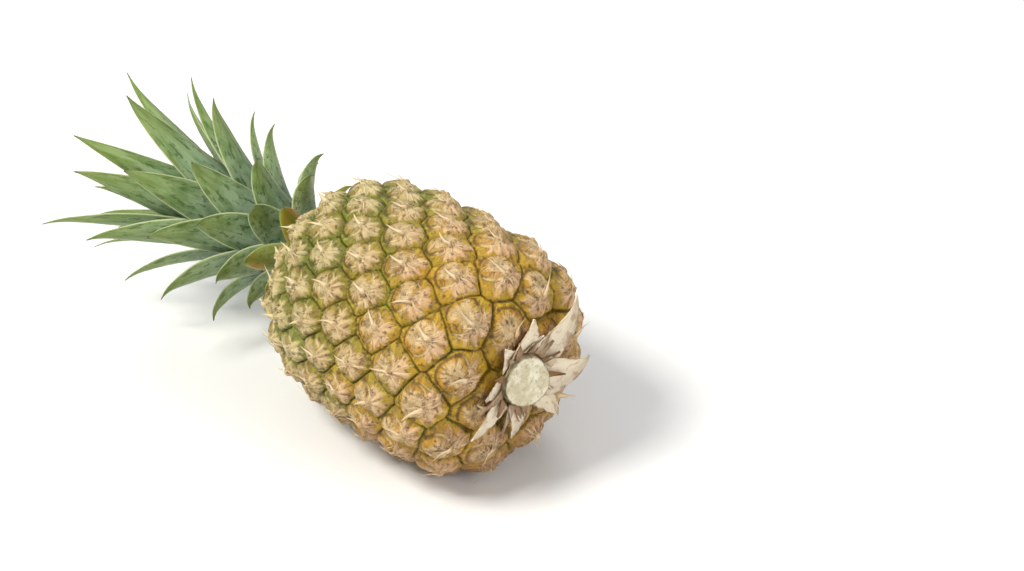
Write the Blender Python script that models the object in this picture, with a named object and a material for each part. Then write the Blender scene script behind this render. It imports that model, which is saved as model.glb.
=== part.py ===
"""A whole pineapple lying on its side.

Metres, +Z up. The fruit's axis runs along X: crown at -X, cut stalk at +X.
The origin is on the resting surface, under the eye that the fruit lies on.
"""

import math
import random

import bmesh
import bpy
import numpy as np
from mathutils import Vector

MM = 0.001

# The barrel of the fruit, measured to the tops of its eyes from its widest section
FRUIT_R = 60.0 * MM
CROWN_SIDE = 86.0 * MM
STALK_SIDE = 57.0 * MM
CROWN_POWER = 3.2
STALK_POWER = 4.2
ROUNDNESS = 3.14
REST_DEPTH = 1.8 * MM

# The widest section's centre stands so that the eye the fruit rests on is at the origin
CENTRE_X = 6.1612 * MM
CENTRE_Y = -1.5753 * MM

# The eyes stand on one spiral, each turned by the golden angle from the last
GOLDEN = math.radians(137.50776)
EYES = 150
EYE_GROWTH = 0.40
FIRST_ANGLE = math.radians(212.8)
ROWS_ONE_WAY = 8
ROWS_OTHER_WAY = 13
STEPS_PER_EYE = 5
FIRST_STEP = 0.8
LAST_STEP = 149.5

GROOVE_DEPTH = 3.4 * MM
GROOVE_SHARE = 0.55
EYE_CROWN = 1.0 * MM
SEPAL_DOME = 0.9 * MM
BRACT_SWELL = 0.5 * MM
SPIKE_RISE = 3.5 * MM
SPIKE_REACH = 5.0 * MM
SPIKE_FREE_R = 30.0 * MM
POLE_R = 14.0 * MM
POLE_FADE = 10.0 * MM
PRESSED_BELOW = 7.0 * MM

# Seats and gaps between the pieces
GAP = 0.35 * MM

# Cut stalk
STALK_R = 12.4 * MM
STALK_OUT = 8.5 * MM
STALK_ASIDE = -1.5 * MM
STALK_ABOVE = 5.0 * MM
STALK_SIDES = 24

# Dry bracts round the stalk
BRACT_COUNT = 9
BRACT_PHASE = math.radians(4.0)
BRACT_REACH = (20.0, 30.0, 19.0, 34.0, 22.0, 18.0, 33.0, 27.0, 16.0)
BRACT_LIFT = (7.0, 6.5, 4.0, 9.0, 5.0, 3.5, 7.5, 7.0, 3.5)
BRACT_WIDTH = 15.0 * MM
BRACT_POINT = 1.6
LIFT_POWER = 1.3
BRACT_THICK = 0.8 * MM
BRACT_SIDES = 72
BRACT_STATIONS = 3
SLEEVE_R = 13.25 * MM
SLEEVE_HEIGHT = 2.4 * MM
BRACT_ROOT = 15.0 * MM
VALLEY = 0.8 * MM
TIP_HALF = 0.5 * MM
EDGE_STEPS = 50

# Crown: a short stem that leans, and leaves on a spiral of their own
CROWN_RISE = math.radians(12.5)
CROWN_YAW = math.radians(-16.5)
LEANS_FROM = 10.0 * MM
CORE_R = 12.5 * MM
CORE_TOP_R = 5.0 * MM
CORE_LENGTH = 40.0 * MM
CORE_SIDES = 16
SCALES = 10
LEAVES = 44
LEAF_PHASE = math.radians(14.0)
LEAF_STATIONS = 5
ROOT_SHARE = 0.82
LEAF_MID_THICK = 1.8 * MM
LEAF_EDGE_THICK = 0.7 * MM
LEAF_FLOOR = 5.0 * MM
SEED = 7


def smooth(value, low, high):
    """0 below low, 1 above high, with an even S between."""
    share = np.clip((value - low) / (high - low), 0.0, 1.0)
    return share * share * (3.0 - 2.0 * share)


class Barrel:
    """The fruit's smooth form, as tables along its outline from crown to stalk."""

    def __init__(self):
        ease = np.linspace(0.0, math.pi / 2.0, 420)
        crown = -CROWN_SIDE * np.cos(ease)
        stalk = STALK_SIDE * np.sin(ease)[1:]
        self.x = np.concatenate([crown, stalk])
        share = np.where(self.x < 0.0, -self.x / CROWN_SIDE, self.x / STALK_SIDE)
        power = np.where(self.x < 0.0, CROWN_POWER, STALK_POWER)
        self.r = FRUIT_R * np.clip(1.0 - share**power, 0.0, 1.0) ** (1.0 / ROUNDNESS)
        run = np.hypot(np.diff(self.x), np.diff(self.r))
        self.along = np.concatenate([[0.0], np.cumsum(run)])
        band = math.pi * (self.r[1:] + self.r[:-1]) * run
        skin = np.concatenate([[0.0], np.cumsum(band)])
        self.part = skin / skin[-1]
        self.skin = skin[-1]
        self.count = EYES * self.part * (1.0 + EYE_GROWTH * (1.0 - self.part))
        self.out_x = -np.gradient(self.r, self.along)
        self.out_r = np.gradient(self.x, self.along)

    def at(self, count, table):
        return np.interp(count, self.count, table)

    def eye_size(self, count):
        """Half the width of an eye there."""
        grown = 1.0 + EYE_GROWTH * (1.0 - 2.0 * self.at(count, self.part))
        return 0.5 * np.sqrt(self.skin / (EYES * grown))

    def x_at_radius(self, radius):
        """Where the outline has that radius, on its stalk end."""
        inside = max(0.0, 1.0 - (radius / FRUIT_R) ** ROUNDNESS)
        return STALK_SIDE * inside ** (1.0 / STALK_POWER)


BARREL = Barrel()
SHIFT = np.array([CENTRE_X, CENTRE_Y, FRUIT_R - REST_DEPTH])


def eye_angle(one_way, other_way):
    """The angle reached by whole and part steps along the two sets of rows."""
    step_one = ROWS_ONE_WAY * GOLDEN - 3.0 * 2.0 * math.pi
    step_other = ROWS_OTHER_WAY * GOLDEN - 5.0 * 2.0 * math.pi
    return FIRST_ANGLE + one_way * step_one + other_way * step_other


def lattice():
    """Grid points that run along both sets of rows, with their place on the spiral."""
    steps = STEPS_PER_EYE
    index = {}
    one_way = []
    other_way = []
    for p in range(ROWS_OTHER_WAY * steps):
        low = math.ceil((FIRST_STEP * steps - ROWS_ONE_WAY * p) / ROWS_OTHER_WAY)
        high = math.floor((LAST_STEP * steps - ROWS_ONE_WAY * p) / ROWS_OTHER_WAY)
        for q in range(low, high + 1):
            index[(p, q)] = len(one_way)
            one_way.append(p / steps)
            other_way.append(q / steps)
    return index, np.array(one_way), np.array(other_way)


def nearest_eyes(one_way, other_way, along, radius, angle):
    """Distances to the two nearest eyes, in half eye widths, and the nearest one's axes."""
    best = np.full(len(one_way), 99.0)
    second = np.full(len(one_way), 99.0)
    forward = np.zeros(len(one_way))
    sideways = np.zeros(len(one_way))
    middle_one = np.round(one_way)
    middle_other = np.round(other_way)
    for step_one in range(-3, 4):
        for step_other in range(-3, 4):
            eye_one = middle_one + step_one
            eye_other = middle_other + step_other
            count = ROWS_ONE_WAY * eye_one + ROWS_OTHER_WAY * eye_other
            size = BARREL.eye_size(count)
            ahead = (along - BARREL.at(count, BARREL.along)) / size
            turn = angle - eye_angle(eye_one, eye_other)
            turn = (turn + math.pi) % (2.0 * math.pi) - math.pi
            aside = radius * turn / size
            distance = np.hypot(ahead, aside)
            distance[(count < 0.0) | (count > EYES)] = 99.0
            closer = distance < best
            second = np.where(closer, best, np.minimum(second, distance))
            forward = np.where(closer, ahead, forward)
            sideways = np.where(closer, aside, sideways)
            best = np.where(closer, distance, best)
    return best, second, forward, sideways


def relief_height(best, second, forward, sideways):
    """Height of the skin over the barrel: grooves, the eye, its sepals and its bract."""
    groove = smooth(second - best, 0.0, GROOVE_SHARE)
    height = -GROOVE_DEPTH * (1.0 - groove)
    height -= EYE_CROWN * np.clip(best, 0.0, 1.2) ** 2
    sepals = np.exp(-((forward + 0.42) ** 2 + sideways**2) / 0.16)
    bract = np.exp(-((forward - 0.40) ** 2 + 0.6 * sideways**2) / 0.14)
    return height + SEPAL_DOME * sepals * groove + BRACT_SWELL * bract * groove - SEPAL_DOME


def fruit_points(index, one_way, other_way):
    count = ROWS_ONE_WAY * one_way + ROWS_OTHER_WAY * other_way
    angle = eye_angle(one_way, other_way)
    along = BARREL.at(count, BARREL.along)
    radius = BARREL.at(count, BARREL.r)
    x = BARREL.at(count, BARREL.x)
    out_x = BARREL.at(count, BARREL.out_x)
    out_r = BARREL.at(count, BARREL.out_r)
    length = np.hypot(out_x, out_r)
    out_x = out_x / length
    out_r = out_r / length
    pole = smooth(radius, POLE_R, POLE_R + POLE_FADE)
    near = nearest_eyes(one_way, other_way, along, radius, angle)
    rise = relief_height(*near) * pole

    steps = STEPS_PER_EYE
    reach = np.zeros(len(count))
    for (p, q), number in index.items():
        if p % steps == 0 and q % steps == 0 and radius[number] > SPIKE_FREE_R:
            height = FRUIT_R - REST_DEPTH + radius[number] * math.cos(angle[number])
            free = float(smooth(height, 0.0, PRESSED_BELOW))
            rise[number] += SPIKE_RISE * free
            reach[number] = SPIKE_REACH * free

    # The crown lies towards -X, so a spike leans back along the outline
    x = x + rise * out_x - reach * out_r
    radius = radius + rise * out_r + reach * out_x
    y = radius * np.sin(angle)
    z = radius * np.cos(angle)
    places = np.stack([x, y, z], axis=1) + SHIFT
    places[:, 2] = np.maximum(places[:, 2], 0.0)
    return places


def close_ends(mesh):
    """Close each open rim with a fan of faces round one point on the axis."""
    rims = {True: [], False: []}
    for edge in mesh.edges:
        if len(edge.link_faces) == 1:
            stalk_end = edge.verts[0].co.x - SHIFT[0] > 0.0
            rims[stalk_end].append(edge)
    for stalk_end, edges in rims.items():
        x = STALK_SIDE if stalk_end else -CROWN_SIDE
        tip = mesh.verts.new((x + SHIFT[0], SHIFT[1], SHIFT[2]))
        for edge in edges:
            mesh.faces.new((edge.verts[0], edge.verts[1], tip))


def mesh_object(name, mesh, material):
    """Turn a bmesh into an object with its faces pointing out and shaded smooth."""
    bmesh.ops.recalc_face_normals(mesh, faces=mesh.faces)
    data = bpy.data.meshes.new(name)
    mesh.to_mesh(data)
    mesh.free()
    data.materials.append(material)
    item = bpy.data.objects.new(name, data)
    bpy.context.scene.collection.objects.link(item)
    data.shade_smooth()
    return item


def make_fruit(material):
    index, one_way, other_way = lattice()
    places = fruit_points(index, one_way, other_way)
    mesh = bmesh.new()
    verts = [mesh.verts.new(place) for place in places]
    turn = ROWS_OTHER_WAY * STEPS_PER_EYE
    back = ROWS_ONE_WAY * STEPS_PER_EYE

    def corner(p, q):
        if p == turn:
            return index.get((0, q + back))
        return index.get((p, q))

    for p, q in index:
        here = corner(p, q)
        far = corner(p + 1, q + 1)
        if far is None:
            continue
        for near, order in ((corner(p + 1, q), 1), (corner(p, q + 1), -1)):
            if near is not None:
                mesh.faces.new((verts[here], verts[near], verts[far])[::order])
    close_ends(mesh)
    return mesh_object("fruit", mesh, material)


def add_rings(mesh, rings):
    """Skin a run of equal rings of points and close both ends."""
    rows = []
    for ring in rings:
        rows.append([mesh.verts.new(point) for point in ring])
    sides = len(rows[0])
    for low, high in zip(rows, rows[1:]):
        for side in range(sides):
            after = (side + 1) % sides
            mesh.faces.new((low[side], low[after], high[after]))
            mesh.faces.new((low[side], high[after], high[side]))
    for row in (rows[0], rows[-1]):
        middle = sum((vert.co for vert in row), Vector()) / sides
        hub = mesh.verts.new(middle)
        for side in range(sides):
            mesh.faces.new((row[side], row[(side + 1) % sides], hub))


def blade_ring(place, side, face, width, cup, mid_thick, edge_thick):
    """Six points round one cut through a blade: its back, then its hollow front."""
    half = side * (0.5 * width)
    lift = face * cup
    back = face * (0.5 * edge_thick)
    mid = face * (0.5 * mid_thick)
    return [
        place - half + lift - back,
        place - mid,
        place + half + lift - back,
        place + half + lift + back,
        place + mid,
        place - half + lift + back,
    ]


def crown_axes(seat):
    """The crown's axis at that height, square on the fruit and then leaning over."""
    lean = min(seat / LEANS_FROM, 1.0)
    axis = Vector((-1.0, lean * math.tan(CROWN_YAW), lean * math.tan(CROWN_RISE))).normalized()
    side = Vector((0.0, 1.0, 0.0))
    side = (side - axis * side.dot(axis)).normalized()
    up = side.cross(axis)
    if up.z < 0.0:
        up = -up
    return axis, side, up


def core_radius(seat):
    """The stem's radius at that height over the fruit."""
    return CORE_R + (CORE_TOP_R - CORE_R) * seat / CORE_LENGTH


def leaf_plan(number, chance):
    """One leaf's angle round the crown, seat, lean, length and width by its number."""
    wobble = chance.uniform(-1.0, 1.0)
    stretch = chance.uniform(-1.0, 1.0)
    swing = chance.uniform(-1.0, 1.0)
    if number < 0:
        share = (number + SCALES) / SCALES
        lean = math.radians(86.0 - 14.0 * share + 3.0 * wobble)
        lean_root = 0.9 - 0.2 * share
        length = (15.0 + 20.0 * share + 1.5 * stretch) * MM
        width = (14.0 + 5.0 * share) * MM
        seat = (1.6 + 1.4 * share) * MM
        point = 2.8
    else:
        share = number / (LEAVES - 1.0)
        grown = min(share / 0.82, 1.0)
        lean = math.radians(14.0 + 54.0 * (1.0 - share) ** 1.43 + 4.0 * wobble)
        lean_root = 0.6
        length = (45.0 + 76.0 * grown - 220.0 * max(share - 0.82, 0.0) + 4.0 * stretch) * MM
        width = (21.0 + 4.0 * grown - 30.0 * max(share - 0.7, 0.0)) * MM
        seat = (3.0 + 21.0 * share) * MM
        point = 2.6 - 0.8 * grown
    return {
        "angle": LEAF_PHASE - GOLDEN * number + math.radians(5.0) * wobble,
        "seat": seat,
        "lean": lean,
        "lean_root": lean * lean_root,
        "length": length,
        "width": width,
        "point": point,
        "swing": math.radians(6.0) * swing,
    }


def leaf_rings(plan):
    axis, side, up = crown_axes(plan["seat"])
    away = side * math.sin(plan["angle"]) + up * math.cos(plan["angle"])
    across = away.cross(axis).normalized()
    start = Vector((-CROWN_SIDE - GAP, 0.0, 0.0)) + Vector(SHIFT)
    root = ROOT_SHARE * core_radius(plan["seat"])
    place = start + axis * plan["seat"] + away * root
    lean_root = plan["lean_root"]
    lean_tip = lean_root + 2.2 * (plan["lean"] - lean_root)
    stride = plan["length"] / LEAF_STATIONS
    rings = []
    for station in range(LEAF_STATIONS + 1):
        share = station / LEAF_STATIONS
        lean = lean_root + (lean_tip - lean_root) * share**1.2
        swing = plan["swing"] * share
        ahead = axis * math.cos(lean) + away * math.sin(lean) + across * math.sin(swing)
        ahead.normalize()
        held = place.copy()
        if held.z < 3.0 * LEAF_FLOOR:
            drop = (held.z - LEAF_FLOOR) / LEAF_FLOOR
            held.z = LEAF_FLOOR * (1.0 + 0.5 * (drop + math.sqrt(drop * drop + 0.6)))
        flat = min(max((held.z - LEAF_FLOOR) / (4.0 * LEAF_FLOOR), 0.0), 1.0)
        wide = Vector((across.x, across.y, across.z * flat)).normalized()
        face = ahead.cross(wide).normalized()
        if face.dot(axis) < 0.0:
            face = -face
        taper = (1.0 - share ** plan["point"]) * min(1.0, 0.72 + 1.2 * share)
        width = max(plan["width"] * taper, 1.2 * MM)
        cup = 0.16 * width
        mid_thick = LEAF_EDGE_THICK + (LEAF_MID_THICK - LEAF_EDGE_THICK) * (1.0 - share)
        rings.append(blade_ring(held, wide, face, width, cup, mid_thick, LEAF_EDGE_THICK))
        place = place + ahead * stride
    return rings


def core_rings():
    """The crown's short stem: square on the fruit, then leaning with the leaves."""
    start = Vector((-CROWN_SIDE - GAP, 0.0, 0.0)) + Vector(SHIFT)
    rings = []
    for share in (0.0, 0.12, 0.4, 0.75, 0.95, 1.0):
        axis, ring_side, ring_up = crown_axes(CORE_LENGTH * share)
        radius = core_radius(CORE_LENGTH * share)
        if share == 1.0:
            radius *= 0.5
        middle = start + axis * (CORE_LENGTH * share)
        ring = []
        for number in range(CORE_SIDES):
            angle = 2.0 * math.pi * number / CORE_SIDES
            ring.append(middle + (ring_side * math.sin(angle) + ring_up * math.cos(angle)) * radius)
        rings.append(ring)
    return rings


def keep_outer_shell(mesh):
    """Drop loose scraps and sealed hollows: only the largest closed shell stays."""
    left = set(mesh.faces)
    shells = []
    while left:
        seed = left.pop()
        shell = [seed]
        todo = [seed]
        while todo:
            face = todo.pop()
            for edge in face.edges:
                for other in edge.link_faces:
                    if other in left:
                        left.remove(other)
                        shell.append(other)
                        todo.append(other)
        shells.append(shell)
    shells.sort(key=len)
    for shell in shells[:-1]:
        bmesh.ops.delete(mesh, geom=shell, context="FACES")
    loose = [vert for vert in mesh.verts if not vert.link_faces]
    bmesh.ops.delete(mesh, geom=loose, context="VERTS")


def join_to(base, pieces, name, material):
    """Fuse a base and the pieces that grow from it into one closed body."""
    group = bpy.data.collections.new(name + "_growth")
    bpy.context.scene.collection.children.link(group)
    for piece in pieces:
        bpy.context.scene.collection.objects.unlink(piece)
        group.objects.link(piece)
    union = base.modifiers.new("join", "BOOLEAN")
    union.operation = "UNION"
    union.solver = "MANIFOLD"
    union.operand_type = "COLLECTION"
    union.collection = group
    bpy.context.view_layer.update()
    graph = bpy.context.evaluated_depsgraph_get()
    joined = bpy.data.meshes.new_from_object(base.evaluated_get(graph))
    mesh = bmesh.new()
    mesh.from_mesh(joined)
    bmesh.ops.triangulate(mesh, faces=mesh.faces)
    keep_outer_shell(mesh)
    for item in [base] + list(group.objects):
        bpy.data.objects.remove(item)
    bpy.data.collections.remove(group)
    return mesh_object(name, mesh, material)


def make_crown(material):
    chance = random.Random(SEED)
    mesh = bmesh.new()
    add_rings(mesh, core_rings())
    core = mesh_object("core", mesh, material)
    leaves = []
    for number in range(-SCALES, LEAVES):
        mesh = bmesh.new()
        add_rings(mesh, leaf_rings(leaf_plan(number, chance)))
        leaves.append(mesh_object("leaf", mesh, material))
    return join_to(core, leaves, "crown", material)


def stalk_point(x, radius, angle):
    """A point round the stalk, whose line sits a little off the fruit's axis."""
    y = STALK_ASIDE + radius * math.sin(angle)
    z = STALK_ABOVE + radius * math.cos(angle)
    return Vector((x, y, z)) + Vector(SHIFT)


def make_stalk(material):
    rings = []
    stations = ((0.0, 1.0), (0.25, 0.97), (0.85, 1.0), (1.0, 0.94))
    for share, swell in stations:
        x = STALK_SIDE + GAP + share * STALK_OUT
        ring = []
        for number in range(STALK_SIDES):
            angle = 2.0 * math.pi * number / STALK_SIDES
            radius = STALK_R * swell * (1.0 + 0.03 * math.sin(3.0 * angle + 1.0) * share)
            ring.append(stalk_point(x, radius, angle))
        rings.append(ring)
    mesh = bmesh.new()
    add_rings(mesh, rings)
    return mesh_object("stalk", mesh, material)


def bract_edge(number, angle):
    """How far from the stalk's line a bract reaches at that angle, zero beside it."""
    turn = (angle - BRACT_PHASE - GOLDEN * number + math.pi) % (2.0 * math.pi) - math.pi
    if abs(turn) > 0.5 * math.pi:
        return 0.0
    tip = STALK_R + BRACT_REACH[number] * MM
    for step in range(EDGE_STEPS + 1):
        share = 1.0 - step / EDGE_STEPS
        radius = BRACT_ROOT + (tip - BRACT_ROOT) * share
        half = 0.5 * BRACT_WIDTH * (1.0 - share**BRACT_POINT) + TIP_HALF
        if radius * abs(math.sin(turn)) <= half:
            return radius
    return 0.0


def collar_row(angle):
    """One cut through the torn collar: its sleeve, and the bract that reaches out there."""
    edges = [bract_edge(number, angle) for number in range(BRACT_COUNT)]
    reach = max(edges)
    number = edges.index(reach)
    reach = max(reach, BRACT_ROOT + VALLEY)
    tip = STALK_R + BRACT_REACH[number] * MM
    under = []
    over = []
    for station in range(BRACT_STATIONS + 1):
        radius = BRACT_ROOT + (reach - BRACT_ROOT) * station / BRACT_STATIONS
        share = (radius - BRACT_ROOT) / (tip - BRACT_ROOT)
        place = stalk_point(GAP + BRACT_LIFT[number] * MM * share**LIFT_POWER, radius, angle)
        off_axis = math.hypot(place.y - SHIFT[1], place.z - SHIFT[2])
        place.x += BARREL.x_at_radius(off_axis)
        under.append(place)
        over.append(place + Vector((BRACT_THICK, 0.0, 0.0)))
    low = stalk_point(STALK_SIDE + GAP, SLEEVE_R, angle)
    high = stalk_point(STALK_SIDE + GAP + SLEEVE_HEIGHT, SLEEVE_R, angle)
    return [low] + under + over[::-1] + [high]


def make_base_bracts(material):
    """One torn papery collar round the stalk, clear of it and of the fruit."""
    mesh = bmesh.new()
    rows = []
    for side in range(BRACT_SIDES):
        points = collar_row(2.0 * math.pi * side / BRACT_SIDES)
        rows.append([mesh.verts.new(point) for point in points])
    for row, other in zip(rows, rows[1:] + rows[:1]):
        for corner in range(len(row)):
            after = (corner + 1) % len(row)
            mesh.faces.new((row[corner], row[after], other[after]))
            mesh.faces.new((row[corner], other[after], other[corner]))
    return mesh_object("base_bracts", mesh, material)


def make_material(name, color, roughness):
    material = bpy.data.materials.new(name)
    material.use_nodes = True
    shader = material.node_tree.nodes["Principled BSDF"]
    shader.inputs["Base Color"].default_value = (*color, 1.0)
    shader.inputs["Roughness"].default_value = roughness
    shader.inputs["Metallic"].default_value = 0.0
    return material


def main():
    for item in list(bpy.data.objects):
        bpy.data.objects.remove(item)
    make_fruit(make_material("fruit_skin", (0.46, 0.30, 0.07), 0.62))
    make_crown(make_material("crown_leaf", (0.13, 0.24, 0.09), 0.55))
    make_stalk(make_material("cut_stalk", (0.58, 0.50, 0.33), 0.85))
    make_base_bracts(make_material("dry_bract", (0.62, 0.51, 0.38), 0.8))


main()
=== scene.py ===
"""The looks of a whole pineapple that lies on its side.

Every piece follows the spiral rules of the solids: the rind with its domed eyes, the
papery eye bracts with their spikes, the crown's leaves, the cut stalk and its dry collar.
"""

import math
import random

import bpy
import numpy as np
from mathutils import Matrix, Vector, noise


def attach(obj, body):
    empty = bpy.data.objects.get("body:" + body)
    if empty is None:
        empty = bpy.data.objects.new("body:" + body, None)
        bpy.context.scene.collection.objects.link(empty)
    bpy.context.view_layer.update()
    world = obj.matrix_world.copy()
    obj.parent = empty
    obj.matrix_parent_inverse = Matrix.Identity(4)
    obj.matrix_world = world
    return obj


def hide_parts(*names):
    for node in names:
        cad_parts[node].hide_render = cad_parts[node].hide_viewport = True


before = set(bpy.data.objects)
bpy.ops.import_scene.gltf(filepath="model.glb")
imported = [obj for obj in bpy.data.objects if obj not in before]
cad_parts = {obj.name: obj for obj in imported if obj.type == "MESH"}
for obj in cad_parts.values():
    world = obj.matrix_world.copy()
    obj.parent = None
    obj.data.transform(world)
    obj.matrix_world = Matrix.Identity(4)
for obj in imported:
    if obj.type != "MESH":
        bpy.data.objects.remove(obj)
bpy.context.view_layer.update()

MM = 0.001

# The photograph's frame, and the fruit's place in it, in pixels
FRAME_WIDE = 1024
FRAME_HIGH = 571
FRUIT_AT = (437.9, 331.9)
FRUIT_RADIUS_SEEN = 124.6
CAMERA_TURN = math.radians(47.1)
CAMERA_UP = math.radians(36.5)
CAMERA_AWAY = 1.56
SENSOR = 36.0

# The barrel of the fruit, measured to the tops of its eyes from its widest section
FRUIT_R = 60.0 * MM
CROWN_SIDE = 86.0 * MM
STALK_SIDE = 57.0 * MM
CROWN_POWER = 3.2
STALK_POWER = 4.2
ROUNDNESS = 3.14
REST_DEPTH = 1.8 * MM
CENTRE_X = 6.1612 * MM
CENTRE_Y = -1.5753 * MM

# The eyes stand on one spiral, each turned by the golden angle from the last
GOLDEN = math.radians(137.50776)
EYES = 150
EYE_GROWTH = 0.40
FIRST_ANGLE = math.radians(212.8)
ROWS_ONE_WAY = 8
ROWS_OTHER_WAY = 13
RIND_STEPS = 25
FIRST_STEP = 0.8
LAST_STEP = 149.5

# The seams between eyes, and the fall of each eye from its middle
WANDER = 0.28 * MM
SEAM_DEPTH = 1.6 * MM
SEAM_SHARE = 0.20
EYE_UNEVEN = 0.35 * MM
EYE_FALL = 1.5 * MM
EYE_TILT = 0.45 * MM
ROUND_AT = -0.24
POINTED = 0.34

# The dome and the star of each eye; their places and widths are in half eye widths
DOME_AT = -0.42
DOME_LONG = 0.62
DOME_WIDE = 0.78
DOME_RISE = 1.45 * MM
DOME_UNEVEN = 0.35 * MM
GROOVE_DEPTH = 0.60 * MM
NOTCH_RISE = 0.16 * MM
STAR_AT = 0.06
STAR_ANGLES = (0.0, 0.52, -0.58, 1.12, -1.2, 1.95, -1.9)
ARM_RISE = 1.35 * MM
FOLD_RISE = 0.45 * MM
CREASE_RISE = 0.16 * MM
STAR_RISE = 0.65 * MM

# Roughness all over the rind, and the ends where its relief fades out
ROUGH_RISE = 0.34 * MM
PIT_DEPTH = 0.30 * MM
POLE_R = 14.0 * MM
POLE_FADE = 10.0 * MM

# The blades on the rind, and where they are free to stand off it
STRAND_ROWS = 8
STRAND_SINK = 0.35 * MM
STRAND_TIP = 0.10 * MM
STRANDS_FROM = 3.0 * MM
PRESSED_BELOW = 7.0 * MM
SPIKE_FREE_R = 27.0 * MM
SPIKE_WIDTH = 4.0 * MM
SPIKE_LIFT = 2.2 * MM
SPIKE_LEAN = 1.6 * MM
SPIKE_POINT = 0.62
ROOM_FROM = 2.0 * MM
ROOM_MOST = 6.0 * MM

# The loose blades of an eye: ranges of their place forward and aside, swing, length and
# bend, of width and lift in millimetres, and of paleness, drawn in that order
FRAYED_END = ((0.16,), (-0.12, 0.12), (-0.8, 0.8), (0.4, 0.8), (-0.6, 0.6), (0.6, 1.0), (0.5, 2.0), (0.9,))
RIB = ((-0.12, 0.12), (0.5, 1.0), (-0.4, 0.4), (0.7, 1.4), (0.15,), (0.5, 0.95))
FIBRE = ((-0.1, 0.6), (-0.7, 0.7), (-1.3, 1.3), (0.3, 0.7), (-0.9, 0.9), (0.36,), (0.2, 1.2), (0.4, 1.0))
FLAKE = ((0.0, 0.4), (-0.4, 0.4), (-0.9, 0.9), (0.2, 0.4), (-0.3, 0.3), (1.4, 2.6), (0.3, 0.9), (0.2, 0.8))

# Space between one piece and the next
GAP = 0.35 * MM

# The cut stump, whose line is a little off the fruit's axis, and its slanting cut
STALK_R = 12.4 * MM
STALK_OUT = 8.5 * MM
STALK_ASIDE = -1.5 * MM
STALK_ABOVE = 5.0 * MM
STALK_SIDES = 120
STALK_BANDS = 10
FACE_BANDS = 26
CUT_TOWARD = math.radians(-40.0)
CUT_LOW = 0.25
RIM_AT = 0.97

# The dry collar: reach and lift of each blade in millimetres, breadth by share
BRACT_COUNT = 9
BRACT_PHASE = math.radians(4.0)
BRACT_REACH = (21.0, 24.0, 13.0, 35.0, 17.0, 14.0, 31.0, 27.0, 11.0)
BRACT_LIFT = (7.0, 6.5, 4.0, 9.0, 5.0, 3.5, 7.5, 7.0, 3.5)
BRACT_WIDTH = 17.0 * MM
BRACT_BROAD = (1.1, 0.85, 0.7, 1.25, 0.8, 0.8, 1.3, 0.8, 0.6)
LIFT_POWER = 1.3
SLEEVE_R = 13.25 * MM
SCRAPS = 15
COLLAR_ROWS = 30
COLLAR_COLUMNS = 17

# The crown leans over on the fruit; its leaves are numbered from the outer ones in
CROWN_RISE = math.radians(12.5)
CROWN_YAW = math.radians(-16.5)
LEANS_FROM = 10.0 * MM
CORE_R = 12.5 * MM
CORE_TOP_R = 5.0 * MM
CORE_LENGTH = 40.0 * MM
CORE_SIDES = 48
SCALES = 10
LEAVES = 44
HEART_LEAVES = 7
NECK_SCALES = 11
LEAF_PHASE = math.radians(14.0)
LEAF_ROWS = 34
LEAF_COLUMNS = 13
ROOT_SHARE = 0.82
LEAF_FLOOR = 5.0 * MM
SEED = 7

# Each softbox: aside, toward the camera and above the fruit, size, watts and colour
LAMPS = {
    "key_softbox": (-0.9, 0.35, 1.35, 0.6, 26.0, (255, 252, 246)),
    "fill_softbox": (1.3, 0.9, 0.7, 0.9, 10.0, (250, 252, 255)),
    "back_softbox": (0.2, -1.2, 1.1, 0.8, 6.0, (255, 255, 255)),
}
AIR_STRENGTH = 0.42
FLOOR_HALF = 4.0


def srgb(red, green, blue):
    """A colour as it looks on a screen, 0 to 255, as linear light."""
    out = []
    for value in (red, green, blue):
        part = value / 255.0
        out.append(part / 12.92 if part <= 0.04045 else ((part + 0.055) / 1.055) ** 2.4)
    return (*out, 1.0)


def smooth(value, low, high):
    """0 below low, 1 above high, with an even S between."""
    share = np.clip((value - low) / (high - low), 0.0, 1.0)
    return share * share * (3.0 - 2.0 * share)


def turned(value):
    """An angle brought between minus and plus half a turn."""
    return (value + math.pi) % (2.0 * math.pi) - math.pi


def hump(value, middle, width):
    """1 at the middle, and less to both sides of it."""
    return np.exp(-(((value - middle) / width) ** 2))


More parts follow.
